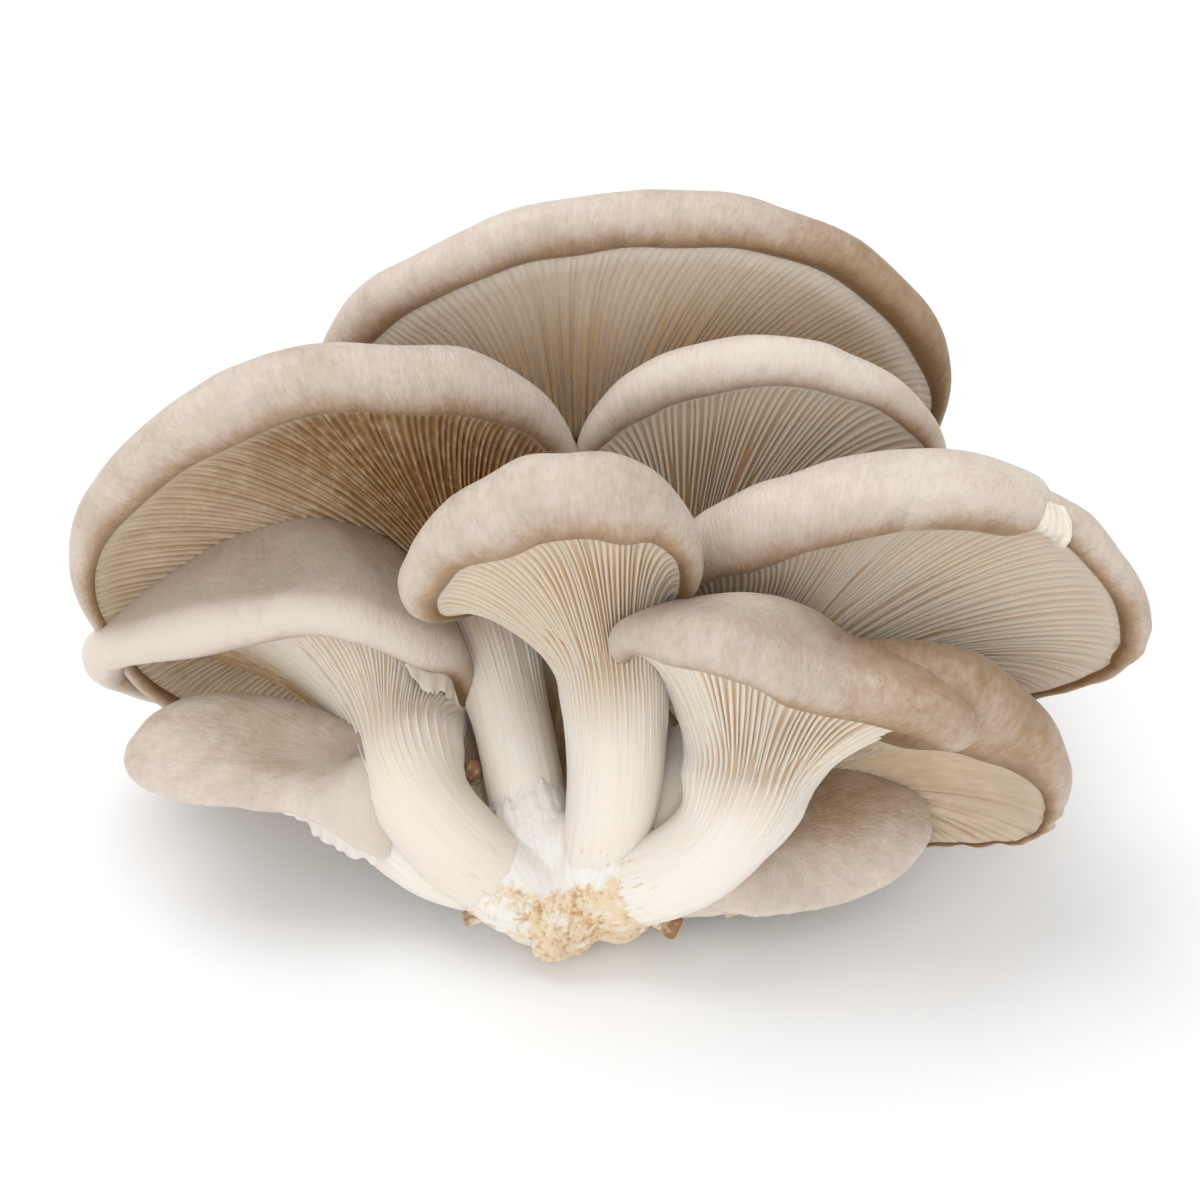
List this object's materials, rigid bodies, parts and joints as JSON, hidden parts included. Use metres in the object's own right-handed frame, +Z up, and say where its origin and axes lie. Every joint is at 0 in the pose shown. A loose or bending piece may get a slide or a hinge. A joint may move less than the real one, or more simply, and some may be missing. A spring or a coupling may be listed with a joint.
{
  "type": "oyster mushroom cluster",
  "caption": "Fan of fleshy oyster mushroom caps on off-centre stems with running gills, grown from one felted base and lying on its back.",
  "frame": {"origin": "bottom centre of the bounding box, on the surface the cluster lies on", "axes": "+X along the long way of the fan, +Z up, the felted base points towards -Y and the open gill sides face -Y"},
  "size_m": [0.2052, 0.121, 0.1153],
  "materials": {
    "mushroom_flesh": "soft matt skin, beige to grey-brown, over cream gills and stem",
    "mycelium_felt": "matt white felt with orange-brown stains",
    "young_growth": "matt, tan to brown"
  },
  "bodies": {
    "root": {"base_clump": "mycelium_felt", "mushroom_left": "mushroom_flesh", "mushroom_front_right": "mushroom_flesh", "mushroom_centre": "mushroom_flesh", "mushroom_lower_left": "mushroom_flesh", "mushroom_bottom_right": "mushroom_flesh", "mushroom_lower_right": "mushroom_flesh", "mushroom_right": "mushroom_flesh", "mushroom_upper_left": "mushroom_flesh", "mushroom_upper_right": "mushroom_flesh", "mushroom_back": "mushroom_flesh", "mushroom_rear_left": "mushroom_flesh", "mushroom_rear_right": "mushroom_flesh", "pinhead_left": "young_growth", "pinhead_right": "young_growth", "stub_right": "young_growth", "stub_left": "young_growth"}
  },
  "joints": []
}
